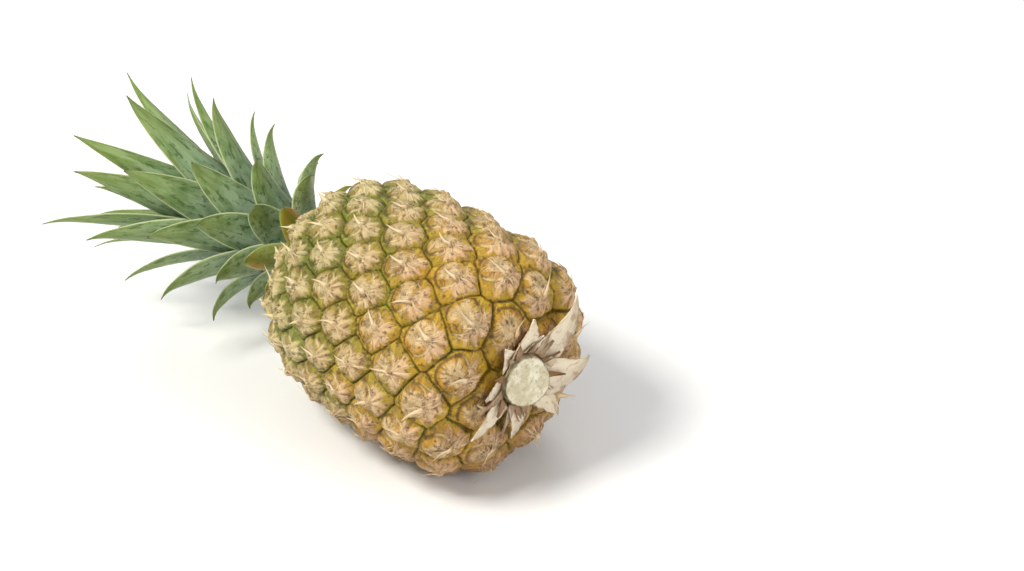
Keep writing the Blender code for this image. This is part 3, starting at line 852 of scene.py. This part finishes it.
class Finish:
    """A material's node tree, with short ways to add and link nodes."""

    def __init__(self, tree):
        self.tree = tree

    def add(self, kind, **settings):
        node = self.tree.nodes.new(kind)
        for title, value in settings.items():
            setattr(node, title, value)
        return node

    def put(self, socket, value):
        if hasattr(value, "is_output"):
            self.tree.links.new(value, socket)
        else:
            socket.default_value = value

    def fill(self, node, **values):
        """Each named socket of the node gets its value or its link."""
        for title, value in values.items():
            self.put(node.inputs[title], value)

    def mask(self, title):
        return self.add("ShaderNodeAttribute", attribute_name=title).outputs["Fac"]

    def math(self, operation, first, second=0.0, clamp=False):
        node = self.add("ShaderNodeMath", operation=operation, use_clamp=clamp)
        self.put(node.inputs[0], first)
        self.put(node.inputs[1], second)
        return node.outputs[0]

    def plus(self, first, second):
        return self.math("ADD", first, second)

    def minus(self, first, second):
        return self.math("SUBTRACT", first, second)

    def times(self, first, second):
        return self.math("MULTIPLY", first, second)

    def about(self, value, size):
        """A value from 0 to 1 made to run evenly below and above 0."""
        return self.times(self.minus(value, 0.5), size)

    def span(self, value, low, high, to_low=0.0, to_high=1.0):
        """The value's place between low and high, as an even S from to_low to to_high."""
        node = self.add("ShaderNodeMapRange", interpolation_type="SMOOTHSTEP")
        for socket, number in zip(node.inputs, (value, low, high, to_low, to_high)):
            self.put(socket, number)
        return node.outputs[0]

    def mix(self, share, first, second, blend="MIX"):
        """One colour over another; a plain colour is given as it looks on a screen."""
        node = self.add("ShaderNodeMix", data_type="RGBA", blend_type=blend)
        self.put(node.inputs[0], share)
        for socket, color in ((node.inputs[6], first), (node.inputs[7], second)):
            self.put(socket, srgb(*color) if isinstance(color, tuple) else color)
        return node.outputs[2]

    def tint(self, body, share, strength, color):
        """The body colour, tinted where the share is high, at most by the strength."""
        return self.mix(self.times(share, strength), body, color)

    def place(self):
        return self.add("ShaderNodeTexCoord").outputs["Object"]

    def cloud(self, vector, scale, detail=3.0, rough=0.55):
        node = self.add("ShaderNodeTexNoise")
        self.fill(node, Vector=vector, Scale=scale, Detail=detail, Roughness=rough)
        return node.outputs["Fac"]

    def chips(self, vector, scale, stir_scale, stir):
        """Small flakes with wandering edges, each with its own value from 0 to 1."""
        swirl = self.add("ShaderNodeTexNoise")
        self.fill(swirl, Vector=vector, Scale=stir_scale, Detail=3.0)
        pull = self.add("ShaderNodeVectorMath", operation="SCALE")
        self.put(pull.inputs[0], swirl.outputs["Color"])
        self.put(pull.inputs["Scale"], stir)
        warp = self.add("ShaderNodeVectorMath", operation="ADD")
        self.put(warp.inputs[0], vector)
        self.put(warp.inputs[1], pull.outputs[0])
        flakes = self.add("ShaderNodeTexVoronoi")
        self.fill(flakes, Vector=warp.outputs[0], Scale=scale)
        parts = self.add("ShaderNodeSeparateColor")
        self.put(parts.inputs[0], flakes.outputs["Color"])
        return parts.outputs[0]

    def joined(self, x, y, z):
        node = self.add("ShaderNodeCombineXYZ")
        for socket, value in zip(node.inputs, (x, y, z)):
            self.put(socket, value)
        return node.outputs[0]

    def coat(self, shader, color, dull, height, strength, depth):
        """The shader's colour, roughness and fine relief, whose depth is in metres."""
        self.put(shader.inputs["Base Color"], color)
        self.put(shader.inputs["Roughness"], dull)
        bump = self.add("ShaderNodeBump")
        self.fill(bump, Strength=strength, Distance=depth, Height=height)
        self.put(shader.inputs["Normal"], bump.outputs[0])

    def group(self, tree, **values):
        node = self.add("ShaderNodeGroup", node_tree=tree)
        self.fill(node, **values)
        return node.outputs


def new_material(name):
    material = bpy.data.materials.new(name)
    material.use_nodes = True
    tree = material.node_tree
    tree.nodes.clear()
    finish = Finish(tree)
    shader = finish.add("ShaderNodeBsdfPrincipled")
    output = finish.add("ShaderNodeOutputMaterial")
    tree.links.new(shader.outputs[0], output.inputs["Surface"])
    return material, finish, shader


def new_group(name, inputs, outputs):
    """An empty node group with value and vector sockets."""
    tree = bpy.data.node_groups.new(name, "ShaderNodeTree")
    for title, kind, value in inputs:
        socket = tree.interface.new_socket(title, in_out="INPUT", socket_type=kind)
        if value is not None:
            socket.default_value = value
    for title, kind in outputs:
        tree.interface.new_socket(title, in_out="OUTPUT", socket_type=kind)
    finish = Finish(tree)
    start = finish.add("NodeGroupInput")
    end = finish.add("NodeGroupOutput")
    return tree, finish, start.outputs, end.inputs


FLOAT = "NodeSocketFloat"
VECTOR = "NodeSocketVector"


def specks_group():
    """Small dark spots, scattered, as on any plant skin."""
    inputs = (("Vector", VECTOR, None), ("Scale", FLOAT, 200.0), ("Amount", FLOAT, 0.3))
    tree, f, start, end = new_group("specks", inputs, (("Mask", FLOAT),))
    edge = f.minus(0.78, f.times(start["Amount"], 0.3))
    value = f.minus(f.cloud(start["Vector"], start["Scale"], 4.0, 0.5), edge)
    f.put(end["Mask"], f.math("MULTIPLY", value, 9.0, clamp=True))
    return tree


def fibres_group():
    """Fine lengthwise lines that run along a leaf or a dry blade."""
    inputs = [(title, FLOAT, 0.0) for title in ("Across", "Length", "Chance")]
    inputs.append(("Count", FLOAT, 30.0))
    tree, f, start, end = new_group("fibres", inputs, (("Lines", FLOAT), ("Blotch", FLOAT)))
    wide = f.times(start["Across"], start["Count"])
    long = f.times(start["Length"], 2.5)
    seed = f.times(start["Chance"], 37.0)
    f.put(end["Lines"], f.cloud(f.joined(wide, long, seed), 1.0, 2.0))
    spread = f.joined(f.times(start["Across"], 1.2), f.times(start["Length"], 4.0), seed)
    f.put(end["Blotch"], f.cloud(spread, 1.6, 4.0, 0.62))
    return tree


def star_group():
    """Fine lines that run out from one point of each eye."""
    inputs = [(title, FLOAT, 0.0) for title in ("Forward", "Sideways", "Seed")]
    inputs.append(("Count", FLOAT, 5.0))
    tree, f, start, end = new_group("star_lines", inputs, (("Lines", FLOAT), ("Reach", FLOAT)))
    forward = start["Forward"]
    sideways = start["Sideways"]
    square = f.plus(f.times(forward, forward), f.times(sideways, sideways))
    reach = f.plus(f.math("SQRT", square), 0.03)
    x = f.times(f.math("DIVIDE", forward, reach), start["Count"])
    y = f.times(f.math("DIVIDE", sideways, reach), start["Count"])
    z = f.plus(f.times(start["Seed"], 91.0), f.times(reach, 1.5))
    f.put(end["Lines"], f.cloud(f.joined(x, y, z), 1.0, 3.0, 0.6))
    f.put(end["Reach"], reach)
    return tree


def rind_material(specks, star):
    """Rind: olive seams darkened by painted shade, green to golden flanks, tan domes with a painted
    highlight, papery stars, and painted shade toward the bottom.
    """
    material, f, shader = new_material("pineapple_rind")
    place = f.place()
    forward, sideways, chance = f.mask("forward"), f.mask("sideways"), f.mask("chance")
    ring, arm, wall = f.mask("ring"), f.mask("arm"), f.mask("wall")
    broad = f.cloud(place, 24.0, 3.0)
    mid = f.cloud(place, 110.0, 4.0, 0.6)
    fine = f.cloud(place, 420.0, 5.0, 0.68)
    chip = f.chips(place, 430.0, 300.0, 0.006)
    shared = {"Sideways": sideways, "Seed": chance}
    bract = f.group(star, Forward=f.minus(forward, STAR_AT), Count=4.5, **shared)
    sepal = f.group(star, Forward=f.minus(forward, DOME_AT), Count=9.0, **shared)
    bract_lines, bract_reach = bract["Lines"], bract["Reach"]

    ripe = f.plus(f.mask("ripe"), f.about(broad, 0.7))
    ripe = f.plus(ripe, f.about(chance, 0.25))
    ripened = f.span(ripe, 0.22, 0.92)

    # The flanks between the star and the seams, green at the crown and golden below
    inward = f.span(f.plus(bract_reach, f.times(mid, 0.5)), 1.20, 0.80)
    low_flank = f.mix(ripened, (130, 138, 38), (204, 164, 20))
    high_flank = f.mix(ripened, (154, 144, 66), (204, 160, 64))
    flank = f.mix(inward, low_flank, high_flank)
    groove = f.mix(inward, f.mix(ripened, (86, 98, 22), (150, 112, 12)), (98, 66, 28))
    blush = f.times(f.span(f.cloud(place, 30.0, 3.0), 0.52, 0.62), f.span(ripe, 0.62, 0.95))
    flank = f.tint(flank, blush, 0.7, (206, 122, 26))
    body = f.mix(f.span(bract_lines, 0.42, 0.56), groove, flank)
    gleam = f.span(bract_lines, 0.56, 0.70)
    body = f.tint(body, gleam, 0.6, f.mix(ripened, (186, 182, 92), (222, 186, 76)))

    # The papery star: pinkish tan, straw at the crown end, torn at its edges
    paper = f.mix(f.span(bract_lines, 0.34, 0.60), (194, 148, 102), (224, 182, 136))
    paper = f.mix(f.span(chip, 0.16, 0.0, 0.0, 0.8), paper, (146, 102, 62))
    paper = f.mix(f.span(chip, 0.76, 0.95, 0.0, 0.6), paper, (242, 212, 166))
    straw = f.mix(f.span(mid, 0.4, 0.6), (184, 174, 112), (220, 208, 154))
    paper = f.mix(f.span(ripe, 0.80, 0.15, 0.0, 0.85), paper, straw)
    worn = f.plus(bract_reach, f.about(mid, 1.6))
    skin = f.mix(f.span(worn, 0.95, 0.30, 0.0, 0.85), body, paper)
    ragged = f.plus(f.about(mid, 1.3), f.about(chip, 0.35))
    torn = f.plus(f.plus(arm, ragged), f.span(bract_reach, 0.55, 0.15, 0.0, 0.5))
    patch = f.times(f.span(torn, 0.16, 0.34), f.span(bract_reach, 1.1, 0.5, 0.45, 0.9))
    skin = f.mix(patch, skin, paper)
    valley = f.times(f.span(arm, 0.20, 0.02), f.span(bract_reach, 0.30, 0.62))
    valley_color = f.mix(ripened, (122, 122, 40), (190, 150, 28))
    skin = f.tint(skin, valley, 0.65, valley_color)
    body = f.mix(f.span(forward, -0.25, 0.05, 0.1, 1.0), body, skin)

    # The dome: tan, with wrinkles toward its rim, a painted highlight near its middle and painted shade in
    # the groove round it
    warm = f.mix(ripened, (158, 146, 62), (206, 154, 38))
    tan = f.mix(f.span(ripe, 0.75, 0.10, 0.0, 0.85), (234, 202, 146), (206, 198, 142))
    cover = f.plus(ring, f.about(mid, 0.9))
    hull = f.mix(f.span(cover, 0.44, 0.26), warm, tan)
    near_rim = f.span(ring, 0.16, 0.36, 0.2, 0.8)
    wrinkle = f.times(f.span(sepal["Lines"], 0.50, 0.38), near_rim)
    hull = f.mix(wrinkle, hull, (132, 94, 38))
    hull = f.mix(f.span(chip, 0.18, 0.0, 0.0, 0.6), hull, (126, 88, 44))
    on_dome = f.span(ring, 0.50, 0.42)
    body = f.tint(body, on_dome, 0.92, hull)
    # Painted highlight: a bright cream patch where the dome bulges next to the star
    shine = f.times(f.span(bract_reach, 0.56, 0.26), f.span(sepal["Reach"], 0.56, 0.28))
    shine = f.times(shine, f.span(chip, 0.1, 0.6, 0.45, 1.0))
    body = f.mix(shine, body, f.mix(ripened, (240, 226, 174), (255, 228, 178)))
    # Painted shade: a dark line in the groove round each dome, strongest on its crown side
    rim = f.times(f.span(ring, 0.44, 0.50), f.span(ring, 0.60, 0.53))
    rim_groove_shade = f.times(rim, f.span(forward, -0.05, -0.40, 0.25, 0.85))
    body = f.mix(rim_groove_shade, body, f.mix(ripened, (76, 74, 22), (104, 74, 18)))
    lip = f.times(f.span(ring, 0.47, 0.50), f.span(ring, 0.55, 0.52))
    lip = f.times(lip, f.span(forward, -0.40, -0.05, 0.0, 0.7))
    body = f.mix(lip, body, (238, 216, 152))

    # Pale folds, bright edges, the wear of the whole skin, and painted shade in the seams and toward the
    # bottom
    crest = f.times(f.mask("fold"), f.span(fine, 0.2, 0.6, 0.4, 1.0))
    body = f.tint(body, crest, 0.7, f.mix(ripened, (226, 212, 162), (236, 204, 164)))
    edge = f.times(f.span(wall, 1.0, 0.80), f.span(mid, 0.40, 0.55))
    body = f.tint(body, edge, 0.8, f.mix(ripened, (150, 148, 40), (200, 160, 28)))

    dark = f.group(specks, Vector=place, Scale=380.0, Amount=0.75)["Mask"]
    body = f.tint(body, dark, 0.7, (84, 54, 28))
    scuff = f.span(f.cloud(place, 60.0, 5.0, 0.72), 0.55, 0.64)
    body = f.tint(body, scuff, 0.35, (132, 96, 52))
    # Painted shade and brown reflected light: the rind turns darker and browner toward the bottom, below
    # about 66 mm over the floor
    split = f.add("ShaderNodeSeparateXYZ")
    f.put(split.inputs[0], place)
    painted_under_shade = f.span(f.plus(split.outputs[2], f.times(broad, 0.03)), 0.066, 0.024)
    body = f.tint(body, painted_under_shade, 0.6, f.mix(fine, (104, 72, 40), (156, 114, 68)))
    # The seams: their own olive colour with green moss spots, made darker than the flanks as painted shade
    # in the recess between eyes
    seam_and_shade = f.span(wall, 0.80, 0.20)
    seam_color_and_shade = f.mix(ripened, (94, 102, 26), (136, 108, 18))
    moss = f.span(f.cloud(place, 34.0, 3.0), 0.50, 0.62)
    seam_color_and_shade = f.tint(seam_color_and_shade, moss, 0.8, (88, 124, 30))
    body = f.tint(body, seam_and_shade, 0.85, seam_color_and_shade)
    body = f.mix(f.span(fine, 0.35, 0.70, 0.0, 0.28), body, (235, 215, 170), "MULTIPLY")

    dull = f.plus(f.span(fine, 0.2, 0.8, 0.34, 0.55), f.times(patch, 0.2))
    lines = f.mix(on_dome, bract_lines, sepal["Lines"])
    height = f.plus(f.times(lines, 1.3), f.times(fine, 1.0))
    height = f.plus(height, f.times(mid, 0.6))
    f.coat(shader, body, dull, height, 1.0, 0.0011)
    shader.inputs["Subsurface Weight"].default_value = 0.04
    shader.inputs["Subsurface Scale"].default_value = 0.003
    return material


def strand_material():
    """Dry bract tips and fibres: cream to pinkish tan, browner at the root."""
    material, f, shader = new_material("dry_bract_tips")
    place = f.place()
    fine = f.cloud(place, 500.0, 4.0, 0.65)
    pale = f.mix(fine, (208, 174, 126), (242, 218, 178))
    brown = f.mix(fine, (140, 100, 60), (188, 146, 96))
    body = f.mix(f.mask("pale"), brown, pale)
    share = f.mask("share")
    body = f.tint(body, f.span(share, 0.3, 0.0), 0.6, (176, 136, 88))
    body = f.mix(f.span(f.mask("ripe"), 0.60, 0.05, 0.0, 0.55), body, (222, 210, 160))
    body = f.tint(body, f.span(share, 0.85, 1.0), 0.35, (120, 82, 52))
    f.coat(shader, body, 0.72, fine, 0.4, 0.0004)
    return material


def leaf_material(specks, fibres):
    """Leaf: blue-green under a waxy bloom, rubbed darker, yellow-green at edge and tip."""
    material, f, shader = new_material("crown_leaf")
    place = f.place()
    across = f.mask("across")
    from_middle = f.math("ABSOLUTE", across)
    length = f.mask("length")
    lines = f.group(fibres, Across=across, Length=length, Chance=f.mask("chance"), Count=34.0)
    bloom = f.span(lines["Blotch"], 0.34, 0.62)
    green = f.mix(f.span(length, 0.15, 0.75), (112, 140, 120), (110, 140, 72))
    grey = f.mix(f.span(length, 0.15, 0.85), (154, 176, 160), (154, 176, 120))
    body = f.mix(bloom, green, grey)
    body = f.tint(body, f.mask("front"), 0.35, (92, 124, 62))
    streak = f.span(lines["Lines"], 0.52, 0.66)
    body = f.tint(body, streak, 0.35, (76, 106, 62))
    shade = f.span(f.mask("chance"), 0.0, 1.0, 0.0, 0.5)
    body = f.mix(shade, body, (196, 204, 190), "MULTIPLY")
    spread = f.joined(f.times(across, 3.0), f.times(length, 9.0), f.mask("chance"))
    rub = f.plus(f.cloud(spread, 1.4, 7.0, 0.72), f.times(from_middle, 0.06))
    rubbed = f.times(f.span(rub, 0.570, 0.60), f.span(length, 0.1, 0.35))
    body = f.tint(body, rubbed, 0.75, (52, 80, 34))
    lime = f.math("MAXIMUM", f.span(from_middle, 0.80, 0.97), f.span(length, 0.55, 1.0))
    body = f.tint(body, lime, 0.45, (122, 144, 44))
    # Painted highlight: a pale line along each leaf's rim, where the edge catches the light
    pale = f.times(f.span(from_middle, 0.91, 0.98), f.span(length, 0.99, 0.85))
    body = f.tint(body, pale, 0.7, (206, 214, 170))
    young = f.span(f.mask("age"), 0.20, 0.10)
    scale = f.mix(f.span(f.cloud(place, 60.0), 0.38, 0.52), (224, 148, 44), (170, 174, 62))
    body = f.tint(body, young, 0.9, scale)
    body = f.mix(f.span(length, 0.97, 0.995), body, (96, 84, 50))
    dark = f.group(specks, Vector=place, Scale=150.0, Amount=0.15)["Mask"]
    body = f.tint(body, dark, 0.6, (48, 60, 30))
    dull = f.span(bloom, 0.0, 1.0, 0.36, 0.56)
    height = f.plus(f.times(lines["Lines"], 0.5), f.times(f.cloud(place, 500.0, 3.0), 0.2))
    f.coat(shader, body, dull, height, 0.35, 0.0005)
    shader.inputs["Subsurface Weight"].default_value = 0.05
    shader.inputs["Subsurface Scale"].default_value = 0.003
    return material


def stalk_material(specks):
    """Cut stem: pale dry fibres on the face, a grey-green rim and a weathered side."""
    material, f, shader = new_material("cut_stalk")
    place = f.place()
    fine = f.cloud(place, 520.0, 5.0, 0.7)
    soft = f.cloud(place, 150.0, 3.0)
    face = f.mix(f.span(soft, 0.35, 0.65), (206, 194, 158), (240, 232, 206))
    face = f.mix(f.span(fine, 0.48, 0.36, 0.0, 0.6), face, (168, 154, 116))
    rim = f.span(f.plus(f.mask("radial"), f.about(fine, 0.25)), 0.92, 1.0)
    face = f.tint(face, rim, 0.85, (112, 104, 72))
    side = f.mix(f.span(f.cloud(place, 180.0, 4.0), 0.35, 0.65), (112, 100, 66), (206, 192, 156))
    body = f.mix(f.mask("cut"), side, face)
    dark = f.group(specks, Vector=place, Scale=420.0, Amount=0.5)["Mask"]
    body = f.tint(body, dark, 0.4, (124, 100, 72))
    f.coat(shader, body, 0.85, fine, 0.5, 0.0004)
    return material


def bract_material(specks, fibres):
    """Dry papery blade: warm white, with fibres and brown at its root and edges."""
    material, f, shader = new_material("dry_bract")
    place = f.place()
    across = f.mask("across")
    length = f.mask("length")
    lines = f.group(fibres, Across=across, Length=length, Chance=f.mask("chance"), Count=16.0)
    body = f.mix(lines["Lines"], (214, 194, 162), (246, 236, 212))
    body = f.tint(body, f.span(lines["Blotch"], 0.52, 0.68), 0.55, (172, 130, 94))
    body = f.tint(body, f.span(length, 0.30, 0.0), 0.5, (168, 134, 98))
    rim = f.span(f.math("ABSOLUTE", across), 0.84, 1.0)
    rim = f.times(rim, f.span(lines["Blotch"], 0.40, 0.56))
    body = f.tint(body, rim, 0.7, (140, 100, 66))
    scrap = f.mix(lines["Lines"], (104, 70, 38), (172, 124, 76))
    body = f.mix(f.mask("brown"), body, scrap)
    dark = f.group(specks, Vector=place, Scale=300.0, Amount=0.1)["Mask"]
    body = f.tint(body, dark, 0.3, (124, 92, 64))
    f.coat(shader, body, 0.78, lines["Lines"], 0.5, 0.0005)
    return material


def floor_material():
    """Plain pale studio floor."""
    material, f, shader = new_material("studio_floor")
    soft = f.cloud(f.place(), 3.0, 2.0)
    f.put(shader.inputs["Base Color"], f.mix(soft, (243, 243, 242), (248, 248, 247)))
    shader.inputs["Roughness"].default_value = 0.7
    return material


def make_floor():
    corners = [(-FLOOR_HALF, -FLOOR_HALF, 0.0), (FLOOR_HALF, -FLOOR_HALF, 0.0)]
    corners += [(FLOOR_HALF, FLOOR_HALF, 0.0), (-FLOOR_HALF, FLOOR_HALF, 0.0)]
    data = bpy.data.meshes.new("studio_floor")
    data.from_pydata(corners, [], [(0, 1, 2, 3)])
    data.materials.append(floor_material())
    item = bpy.data.objects.new("studio_floor", data)
    bpy.context.scene.collection.objects.link(item)


def look_along(item, forward):
    item.rotation_mode = "QUATERNION"
    item.rotation_quaternion = Vector(forward).to_track_quat("-Z", "Y")


def make_camera():
    """The photograph's view: the fruit's widest section falls on its own pixel."""
    pixels_away = FRUIT_RADIUS_SEEN / FRUIT_R * CAMERA_AWAY
    flat = math.cos(CAMERA_UP)
    toward = Vector((math.sin(CAMERA_TURN) * flat, -math.cos(CAMERA_TURN) * flat, math.sin(CAMERA_UP)))
    right = Vector((math.cos(CAMERA_TURN), math.sin(CAMERA_TURN), 0.0))
    up = toward.cross(right)
    aside = 0.5 * FRAME_WIDE - FRUIT_AT[0]
    above = FRUIT_AT[1] - 0.5 * FRAME_HIGH
    data = bpy.data.cameras.new("photo_view")
    data.sensor_width = SENSOR
    data.lens = SENSOR * pixels_away / FRAME_WIDE
    camera = bpy.data.objects.new("photo_view", data)
    camera.location = Vector(SHIFT) + toward * CAMERA_AWAY
    look_along(camera, -toward * pixels_away + right * aside + up * above)
    bpy.context.scene.collection.objects.link(camera)
    bpy.context.scene.camera = camera
    return toward, right


def make_lights(toward, right):
    """Three softboxes round the fruit, and an even pale air."""
    level = Vector((toward.x, toward.y, 0.0)).normalized()
    aim = Vector(SHIFT)
    for name, (aside, near, above, size, watts, color) in LAMPS.items():
        data = bpy.data.lights.new(name, "AREA")
        data.shape = "DISK"
        data.size = size
        data.energy = watts
        data.color = srgb(*color)[:3]
        lamp = bpy.data.objects.new(name, data)
        lamp.location = aim + right * aside + level * near + Vector((0.0, 0.0, above))
        look_along(lamp, aim - lamp.location)
        bpy.context.scene.collection.objects.link(lamp)
    world = bpy.data.worlds.new("studio_air")
    world.use_nodes = True
    sky = world.node_tree.nodes["Background"]
    sky.inputs["Color"].default_value = srgb(250, 251, 253)
    sky.inputs["Strength"].default_value = AIR_STRENGTH
    bpy.context.scene.world = world
    bpy.context.scene.view_settings.view_transform = "Standard"


make_floor()
TOWARD, RIGHT = make_camera()
make_lights(TOWARD, RIGHT)

SPECKS = specks_group()
FIBRES = fibres_group()
LEAF = leaf_material(SPECKS, FIBRES)

make_rind(rind_material(SPECKS, star_group()))
make_eye_bracts(strand_material())
make_crown(LEAF)
make_crown_stem(LEAF)
make_stalk(stalk_material(SPECKS))
make_base_bracts(bract_material(SPECKS, FIBRES))
